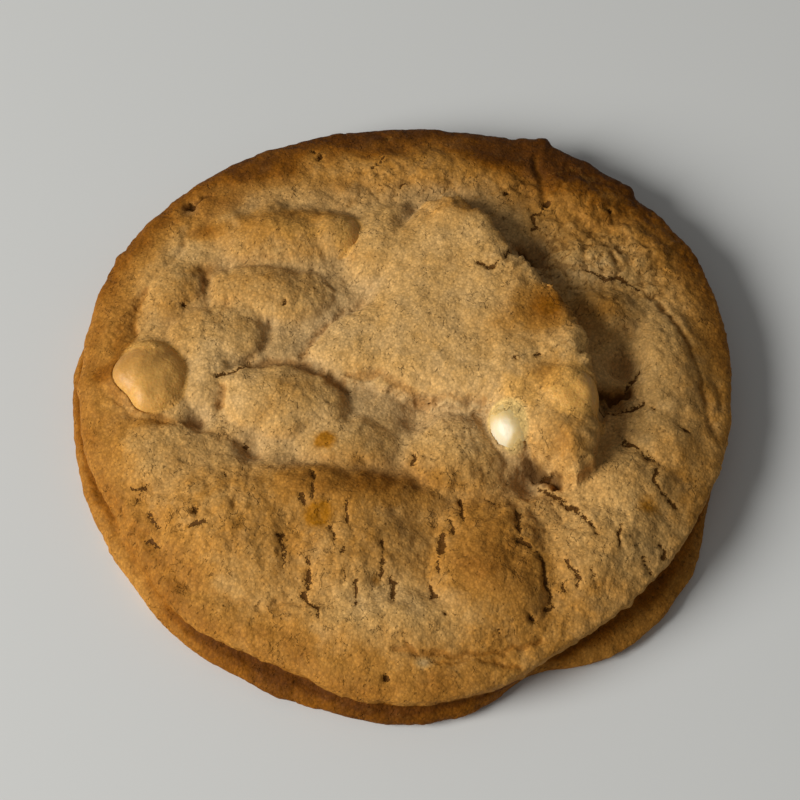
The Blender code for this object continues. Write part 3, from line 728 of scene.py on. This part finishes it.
def browning(form, angle, on_rim, low, front):
    """How baked each place is, from 0 for pale to 1 for darkest, with painted shade in the crease under the
    lip.
    """
    x, y, z = form.T
    radius_share = np.hypot(x, y) / around(CRUST_RADIUS, angle)
    rim = smoothstep(0.80, 1.0, radius_share + 0.04 * fractal(form, 5.0, 2, 2.0))
    bake = 0.3 + 0.17 * front + spots(x, y, BROWNED) + around(RIM_BROWN, angle) * rim
    bake -= 0.08 * smoothstep(0.0, 0.8, low)
    lip = around(LIP_HEIGHT, angle)
    share_down = smoothstep(0.45, 1.0, (lip - z) / (lip - FOOT_HEIGHT + 0.3))
    bake = np.where(on_rim, bake + (around(FOOT_BROWN, angle) - bake) * share_down, bake)
    # Painted shade: a darker band in the crease under the lip, where that crease runs deep
    under_lip_shade = smoothstep(-0.3, 0.4, around(CREASE_DEPTH, angle))
    return bake + 0.25 * under_lip_shade * on_rim * np.exp(-((z - FOOT_HEIGHT - 0.3) / 0.5) ** 2)


class COOKIE_OT_dough(bpy.types.Operator):
    """Builds the dough with its lumps, plate, cracks and browned rim"""

    bl_idname = "cookie.dough"
    bl_label = "Dough"

    def execute(self, context):
        sizes = context.scene.cookie_sizes
        inner_height = sizes.inner_height / MM
        disc = add_dough_disc(sizes.rings)
        disc.name = "dough"
        mesh = disc.data
        ring, row, angle = disc_places(read_points(mesh), sizes.rings)
        form, fade = base_form(ring, row, angle, sizes.rings, inner_height)
        write_points(mesh, form * MM)
        normal = read_points(mesh, "normal")

        x, y, z = form.T
        on_rim = row > 0
        bent_x = x + 0.50 * fractal(form, 1.5, 2, 1.0) + 0.26 * fractal(form, 0.6, 1, 2.0)
        bent_y = y + 0.50 * fractal(form, 1.5, 2, 7.0) + 0.26 * fractal(form, 0.6, 1, 8.0)
        broken = 0.30 * fractal(form, 1.1, 2, 11.0) + 0.05
        crack_deep, crack_wall, crack_way = groove_distance(bent_x, bent_y, CRACKS, 0.9)
        crevice_deep, crevice_wall, _ = groove_distance(bent_x, bent_y, CREVICES, 1.1)
        crease_deep, _, _ = groove_distance(bent_x, bent_y, CREASES, 1.25)
        pit_deep, pit_wall = pit_distance(bent_x, bent_y)
        crumb, rough, gap = crumble(form, bent_x, bent_y, row, sizes)
        crack_deep *= smoothstep(0.4, 0.0, broken)
        cut = np.maximum(np.maximum(0.28 * crack_deep, 0.5 * crease_deep), 0.7 * pit_deep)
        push = (crumb - np.where(on_rim, 0.0, cut)) * smoothstep(0.0, 1.0, z)
        points = form + normal * push[:, None]
        points[:, 2] -= np.where(on_rim, 0.0, crevice_deep)
        tints = hug_nuts(points, form, crumb, on_rim)
        write_points(mesh, (points + middle_shift()) * MM)

        front = smoothstep(-4.0, -24.0, y)
        low = valley_depth(x, y, inner_height) * fade * (1.0 - front) * (1.0 - 0.9 * smoothstep(12.0, 24.0, x))
        crack_half = crack_way[:, 2] - broken
        crack_way[:, 2] = 0.0
        add_attributes(mesh, {
            "bake": browning(form, angle, on_rim, low, front),
            "rough": rough,
            "milk": tints["milk"],
            "film": np.maximum(tints["film"], spots(x, y, NUTTY) * ~on_rim),
            "butter": spots(0.5 * (x + bent_x), 0.5 * (y + bent_y), BUTTER) * ~on_rim,
            "shade": smoothstep(0.35, -0.25, crevice_wall) * ~on_rim,
            # Where the shader lays painted shade along the creases
            "crease_shade": crease_deep * ~on_rim,
            "crack_half": crack_half,
            "crack_way": np.where(on_rim[:, None], FAR, crack_way),
            "crack": np.where(on_rim, FAR, crack_wall + broken),
            "pit": np.where(on_rim, FAR, pit_wall),
            "gap": np.where(on_rim, FAR, gap),
            "low": np.where(on_rim, -1.0, low),
        })

        for polygon in mesh.polygons:
            polygon.use_smooth = len(polygon.vertices) < 5
        mesh.materials.append(dough_material(context.scene.cookie_colours))
        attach(disc, "root")
        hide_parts("cookie")
        return {"FINISHED"}


class COOKIE_OT_nuts(bpy.types.Operator):
    """Builds the macadamias and the white chocolate chip"""

    bl_idname = "cookie.nuts"
    bl_label = "Nuts and chip"

    def execute(self, context):
        colours = context.scene.cookie_colours
        shades = {"macadamia": nut_material(colours), "white_chocolate": chip_material(colours)}
        for name, centre, radii, turn in NUTS:
            deselect()
            bpy.ops.mesh.primitive_ico_sphere_add(subdivisions=6, radius=1.0)
            nut = bpy.context.object
            nut.name = "shaped_" + name
            way = read_points(nut.data)
            drop, _, _, toasted, _ = NUT_SETTING[name]
            spread = way[:, 0] ** 2 + way[:, 1] ** 2
            rotation = np.array(Matrix.Rotation(math.radians(turn), 3, "Z"))
            placed = (way * np.array(radii)) @ rotation.T
            placed[:, :2] *= nut_outline(name, np.arctan2(placed[:, 1], placed[:, 0]))[:, None]
            x = placed[:, 0] + centre[0]
            y = placed[:, 1] + centre[1]
            placed[:, 2] = np.sign(way[:, 2]) * radii[2] * nut_height(name, x, y, np.minimum(spread, 1.0))
            placed += way * 0.03 * fractal(way, 0.4, 3, 6.0)[:, None]
            past = film_past(name, x, y, centre, radii, 0.0)
            lean = (placed[:, 1] - 0.2 * placed[:, 0]) / radii[1]
            add_attributes(nut.data, {"film": smoothstep(-2.1, 0.1, past), "toasted": toasted + 0.75 * lean})
            middle = np.array(centre) + middle_shift() - np.array([0.0, 0.0, drop])
            write_points(nut.data, (middle + placed) * MM)
            bpy.ops.object.shade_smooth()
            kind = "white_chocolate" if name == "white_chip" else "macadamia"
            nut.data.materials.append(shades[kind])
            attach(nut, "root")
            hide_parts(name)
        return {"FINISHED"}


class Tree:
    """Short calls for adding linked shader nodes."""

    def __init__(self, name):
        self.material = bpy.data.materials.new(name)
        self.material.use_nodes = True
        self.nodes = self.material.node_tree.nodes
        self.links = self.material.node_tree.links
        self.shader = self.nodes["Principled BSDF"]

    def feed(self, socket, value):
        if isinstance(value, bpy.types.NodeSocket):
            self.links.new(value, socket)
        elif socket.type == "RGBA":
            socket.default_value = (*value, 1.0)
        else:
            socket.default_value = value

    def node(self, kind, inputs, **settings):
        """A new node with its settings, and its inputs fed by name or by number."""
        node = self.nodes.new("ShaderNode" + kind)
        for key, value in settings.items():
            setattr(node, key, value)
        for key, value in inputs.items():
            self.feed(node.inputs[key], value)
        return node

    def finish(self, inputs):
        """The material, once its shader's inputs are fed."""
        for key, value in inputs.items():
            self.feed(self.shader.inputs[key], value)
        return self.material

    def position(self, size_mm, turn):
        """Object coordinates in units of a size, turned so that patterns don't line up."""
        scale = 1000.0 / size_mm
        return self.node("Mapping", {
            "Vector": self.node("TexCoord", {}).outputs["Object"], "Scale": (scale, scale, scale),
            "Rotation": (turn, 0.5 * turn, turn),
        }).outputs["Vector"]

    def noise(self, size_mm, detail=3.0, roughness=0.55, turn=0.3):
        return self.node("TexNoise", {
            "Vector": self.position(size_mm, turn), "Scale": 1.0, "Detail": detail, "Roughness": roughness,
        }).outputs["Fac"]

    def voronoi(self, size_mm, turn, warp, feature):
        place = self.node("VectorMath", {0: self.position(size_mm, turn), 1: warp}, operation="ADD")
        return self.node("TexVoronoi", {"Vector": place.outputs["Vector"], "Scale": 1.0}, feature=feature)

    def cells(self, size_mm, turn, warp):
        """Distance to the nearest random point in cell sizes, and that point's random number."""
        node = self.voronoi(size_mm, turn, warp, "F1")
        split = self.node("SeparateColor", {"Color": node.outputs["Color"]})
        return node.outputs["Distance"], split.outputs["Red"]

    def seams(self, size_mm, turn, warp):
        """Distance to the nearest border between random cells, in cell sizes."""
        return self.voronoi(size_mm, turn, warp, "DISTANCE_TO_EDGE").outputs["Distance"]

    def grey(self, value):
        return self.node("CombineColor", {"Red": value, "Green": value, "Blue": value}).outputs["Color"]

    def colour_ramp(self, value, stops):
        """Colour at a value of 0 to 1 between the stops, each a place and a colour."""
        node = self.node("ValToRGB", {"Fac": value})
        while len(node.color_ramp.elements) < len(stops):
            node.color_ramp.elements.new(0.5)
        for element, (place, colour) in zip(node.color_ramp.elements, stops):
            element.position = place
            element.color = (*colour, 1.0)
        return node.outputs["Color"]

    def attribute(self, name, output="Fac"):
        return self.node("Attribute", {}, attribute_name=name).outputs[output]

    def attribute_length(self, name):
        vector = self.attribute(name, "Vector")
        return self.node("VectorMath", {0: vector}, operation="LENGTH").outputs["Value"]

    def math(self, kind, a, b):
        return self.node("Math", {0: a, 1: b}, operation=kind).outputs["Value"]

    def sum(self, first, *others):
        for other in others:
            first = self.math("ADD", first, other)
        return first

    def times(self, a, b):
        return self.math("MULTIPLY", a, b)

    def centred(self, value, amount):
        """A value of 0 to 1 made to lie round nought, times an amount."""
        return self.times(self.math("SUBTRACT", value, 0.5), amount)

    def linear(self, value, to_low, to_high):
        """Value of 0 to 1 run straight from one number to another."""
        return self.sum(self.times(value, to_high - to_low), to_low)

    def ramp(self, value, low, high, to_low=0.0, to_high=1.0):
        """Value run smoothly from low..high to to_low..to_high."""
        return self.node("MapRange", {
            "Value": value, "From Min": low, "From Max": high, "To Min": to_low, "To Max": to_high,
        }, interpolation_type="SMOOTHSTEP").outputs["Result"]

    def mix(self, factor, a, b, kind="MIX"):
        return self.node("Mix", {0: factor, 6: a, 7: b}, data_type="RGBA", blend_type=kind).outputs[2]

    def bump(self, height):
        """Normal for a height in mm."""
        return self.node("Bump", {"Strength": 1.0, "Distance": MM, "Height": height}).outputs["Normal"]


def dough_material(colours):
    t = Tree("dough")
    broad = t.noise(6.0, 2.0)
    mottle = t.noise(1.8, 3.0, 0.6)
    grain = t.noise(0.42, 3.0, 0.65)
    fine = t.noise(0.2, 2.0, 0.6)
    drift = t.noise(3.4, 3.0, 0.6, 1.1)

    bake = t.sum(t.attribute("bake"), t.centred(broad, 0.30), t.centred(mottle, 0.28), t.centred(grain, 0.12))
    colour = t.colour_ramp(bake, (
        (0.0, colours.pale), (0.3, colours.golden), (0.55, colours.toasted), (0.8, colours.brown),
        (1.0, colours.dark),
    ))
    dusty = t.times(t.ramp(drift, 0.48, 0.70, 0.0, 0.16), t.ramp(bake, 0.45, 0.75, 1.0, 0.0))
    colour = t.mix(dusty, colour, colours.valley)
    # attribute, pattern that frays it and by how much, where the mark starts and is full, strength and colour;
    # the row for creases lays painted shade along them in brown, the other rows are stains
    tints = (
        ("low", mottle, 0.4, -0.1, 0.9, 0.42, colours.valley),
        ("crease_shade", mottle, 0.7, 0.2, 1.0, 0.52, colours.brown),
        ("butter", grain, 0.3, 0.15, 0.7, 0.94, colours.butter),
        ("film", mottle, 1.2, 0.1, 0.9, 0.66, colours.film),
        ("milk", mottle, 0.5, 0.1, 0.9, 0.85, colours.milk),
    )
    for name, pattern, uneven, start, full, strength, tint in tints:
        share = t.ramp(t.sum(t.attribute(name), t.centred(pattern, uneven)), start, full, 0.0, strength)
        colour = t.mix(share, colour, tint)

    # Crumb beads: each has its own random lightness, and by bead_gap their middles get painted light and the
    # seams between them painted shade
    bead_gap, bead = t.cells(0.34, 0.9, fine)
    light = t.times(t.ramp(bead_gap, 0.15, 0.75, 1.11, 0.85), t.linear(bead, 0.85, 1.17))
    light = t.times(light, t.ramp(grain, 0.25, 0.75, 0.91, 1.09))
    colour = t.mix(1.0, colour, t.grey(light), "MULTIPLY")

    # Pores and holes, filled with the crack colour as painted shade
    pore_gap, pore_pick = t.cells(0.5, 0.7, t.times(grain, 2.2))
    crowd = t.ramp(broad, 0.35, 0.65, 0.90, 0.55)
    pore = t.times(t.ramp(pore_gap, 0.14, 0.28, 1.0, 0.0), t.math("GREATER_THAN", pore_pick, crowd))
    hole_gap, hole_pick = t.cells(2.2, 0.4, t.noise(0.9, 3.0, 0.7))
    hole = t.times(t.ramp(hole_gap, 0.05, 0.12, 1.0, 0.0), t.math("GREATER_THAN", hole_pick, 0.45))
    pore = t.math("MAXIMUM", t.times(pore, 0.7), hole)
    colour = t.mix(t.times(pore, 0.46), colour, colours.crack)

    # Hairline seams, drawn in the crack colour as painted shade
    seam = t.sum(t.seams(1.5, 0.5, t.times(mottle, 0.9)), t.centred(grain, 0.34))
    torn = t.sum(t.noise(2.1, 2.0, 0.5, 0.8), t.linear(t.attribute("rough"), -0.10, 0.06))
    hair = t.times(t.ramp(seam, -0.02, 0.05, 1.0, 0.0), t.ramp(torn, 0.53, 0.62))
    colour = t.mix(t.times(hair, 0.24), colour, colours.crack)

    gap = t.sum(t.attribute("gap"), t.centred(mottle, 0.9), t.centred(grain, 0.7))
    crack = t.math("SUBTRACT", t.attribute_length("crack_way"), t.attribute("crack_half"))
    crack = t.math("MAXIMUM", crack, t.math("SUBTRACT", t.attribute("crack"), 0.35))
    crack = t.math("MINIMUM", crack, t.attribute("pit"))
    crack = t.sum(crack, t.centred(grain, 0.9), t.centred(fine, 0.8))
    halo = t.ramp(t.math("MINIMUM", crack, gap), 0.0, 0.35, 1.0, 0.0)
    inside = t.ramp(crack, -0.06, 0.04, 1.0, 0.0)
    open_gap = t.ramp(gap, -0.10, 0.05, 0.4, 0.0)
    colour = t.mix(t.times(halo, 0.35), colour, colours.toasted)
    # Inside cracks and pits, in open gaps between clods and in crevices, the crack colour is painted shade
    colour = t.mix(t.math("MAXIMUM", t.times(inside, 0.92), open_gap), colour, colours.crack)
    shade = t.ramp(t.sum(t.attribute("shade"), t.centred(grain, 0.5)), 0.1, 1.0, 0.0, 0.8)
    colour = t.mix(shade, colour, colours.crack)

    height = t.sum(
        t.times(mottle, 0.09), t.times(grain, 0.05), t.times(bead_gap, -0.045), t.times(pore, -0.12),
        t.times(hair, -0.10), t.times(inside, -0.3),
    )
    return t.finish({
        "Base Color": colour, "Roughness": 0.65, "Specular IOR Level": 0.07, "Normal": t.bump(height),
    })


def nut_material(colours):
    t = Tree("macadamia")
    broad = t.noise(4.0, 3.0)
    mottle = t.noise(1.2, 4.0, 0.65)
    grain = t.noise(0.4, 3.0, 0.65)
    _, bead = t.cells(0.36, 0.9, grain)
    toasted = t.ramp(t.sum(t.attribute("toasted"), t.centred(broad, 1.6)), 0.1, 1.3)
    colour = t.mix(toasted, colours.nut, colours.toasted_nut)
    film = t.ramp(t.sum(t.attribute("film"), t.centred(mottle, 1.0)), 0.3, 0.95)
    colour = t.mix(t.times(film, 0.85), colour, colours.film)
    light = t.times(t.linear(grain, 0.84, 1.16), t.linear(bead, 0.93, 1.07))
    height = t.sum(t.times(mottle, 0.12), t.times(grain, t.linear(film, 0.04, 0.12)))
    return t.finish({
        "Base Color": t.mix(1.0, colour, t.grey(light), "MULTIPLY"), "Normal": t.bump(height),
        "Roughness": 0.45, "Specular IOR Level": 0.3, "Subsurface Weight": 0.2,
        "Subsurface Radius": (1.0, 0.5, 0.2), "Subsurface Scale": 1.2 * MM,
    })


def chip_material(colours):
    t = Tree("white_chocolate")
    mottle = t.noise(1.2, 3.0)
    film = t.ramp(t.sum(t.attribute("film"), t.centred(mottle, 0.6)), 0.2, 0.95)
    return t.finish({
        "Base Color": t.mix(t.times(film, 0.9), colours.chip, colours.milk),
        "Normal": t.bump(t.times(mottle, 0.12)), "Roughness": 0.4, "Subsurface Weight": 0.3,
        "Subsurface Radius": (1.0, 0.7, 0.4), "Subsurface Scale": 1.5 * MM,
    })


def floor_material(colours):
    return Tree("floor").finish({"Base Color": colours.floor, "Roughness": 0.55})


# Places and lengths of the camera and the floor in mm, of the key light in m, and angles in degrees
CAMERA_TARGET = (-0.05, -0.05, 5.0)
CAMERA_ELEVATION = 60.0
CAMERA_DISTANCE = 300.0
CAMERA_LENS = 110.0
KEY_AZIMUTH = 200.0
KEY_ELEVATION = 29.0
KEY_DISTANCE = 1.0
KEY_SIZE = 0.62
KEY_POWER = 12.6
AMBIENT = 0.15
FLOOR_DROP = 0.05


class COOKIE_OT_stage(bpy.types.Operator):
    """Adds the floor, the lights and the camera"""

    bl_idname = "cookie.stage"
    bl_label = "Stage"

    def execute(self, context):
        deselect()
        bpy.ops.mesh.primitive_plane_add(size=2.0, location=(0.0, 0.0, -FLOOR_DROP * MM))
        floor = bpy.context.object
        floor.name = "floor"
        bpy.ops.object.transform_apply(location=True)
        floor.data.materials.append(floor_material(context.scene.cookie_colours))

        azimuth = math.radians(KEY_AZIMUTH)
        elevation = math.radians(KEY_ELEVATION)
        level = math.cos(elevation)
        way = Vector((math.cos(azimuth) * level, math.sin(azimuth) * level, math.sin(elevation)))
        bpy.ops.object.light_add(type="AREA", location=way * KEY_DISTANCE)
        key = bpy.context.object
        key.name = "key_light"
        key.rotation_euler = way.to_track_quat("Z", "Y").to_euler()
        key.data.shape = "DISK"
        key.data.size = KEY_SIZE
        key.data.energy = KEY_POWER

        world = context.scene.world or bpy.data.worlds.new("world")
        context.scene.world = world
        world.use_nodes = True
        background = world.node_tree.nodes["Background"]
        background.inputs["Color"].default_value = (1.0, 1.0, 1.0, 1.0)
        background.inputs["Strength"].default_value = AMBIENT

        tilt = math.radians(CAMERA_ELEVATION)
        target = Vector(CAMERA_TARGET) * MM
        back = Vector((0.0, -math.cos(tilt), math.sin(tilt)))
        bpy.ops.object.camera_add(location=target + back * CAMERA_DISTANCE * MM)
        camera = bpy.context.object
        camera.rotation_euler = back.to_track_quat("Z", "Y").to_euler()
        camera.data.lens = CAMERA_LENS
        camera.data.clip_start = 0.01
        context.scene.camera = camera
        context.scene.view_settings.view_transform = "Standard"
        return {"FINISHED"}


class COOKIE_PT_panel(bpy.types.Panel):
    """Lists the cookie's pieces in the 3D view's sidebar"""

    bl_idname = "COOKIE_PT_panel"
    bl_label = "Cookie"
    bl_space_type = "VIEW_3D"
    bl_region_type = "UI"
    bl_category = "Cookie"

    def draw(self, context):
        for group in (context.scene.cookie_sizes, context.scene.cookie_colours):
            box = self.layout.box()
            for key in group.__annotations__:
                box.prop(group, key)
        for operator in OPERATORS:
            self.layout.operator(operator.bl_idname)


OPERATORS = (COOKIE_OT_dough, COOKIE_OT_nuts, COOKIE_OT_stage)
GROUPS = {"cookie_sizes": CookieSizes, "cookie_colours": CookieColours}


def register():
    for cls in (*GROUPS.values(), *OPERATORS, COOKIE_PT_panel):
        bpy.utils.register_class(cls)
    for name, group in GROUPS.items():
        setattr(bpy.types.Scene, name, PointerProperty(type=group))


def unregister():
    for name in GROUPS:
        delattr(bpy.types.Scene, name)
    for cls in reversed((*GROUPS.values(), *OPERATORS, COOKIE_PT_panel)):
        bpy.utils.unregister_class(cls)


def main():
    register()
    bpy.ops.cookie.dough()
    bpy.ops.cookie.nuts()
    bpy.ops.cookie.stage()


if __name__ == "__main__":
    main()
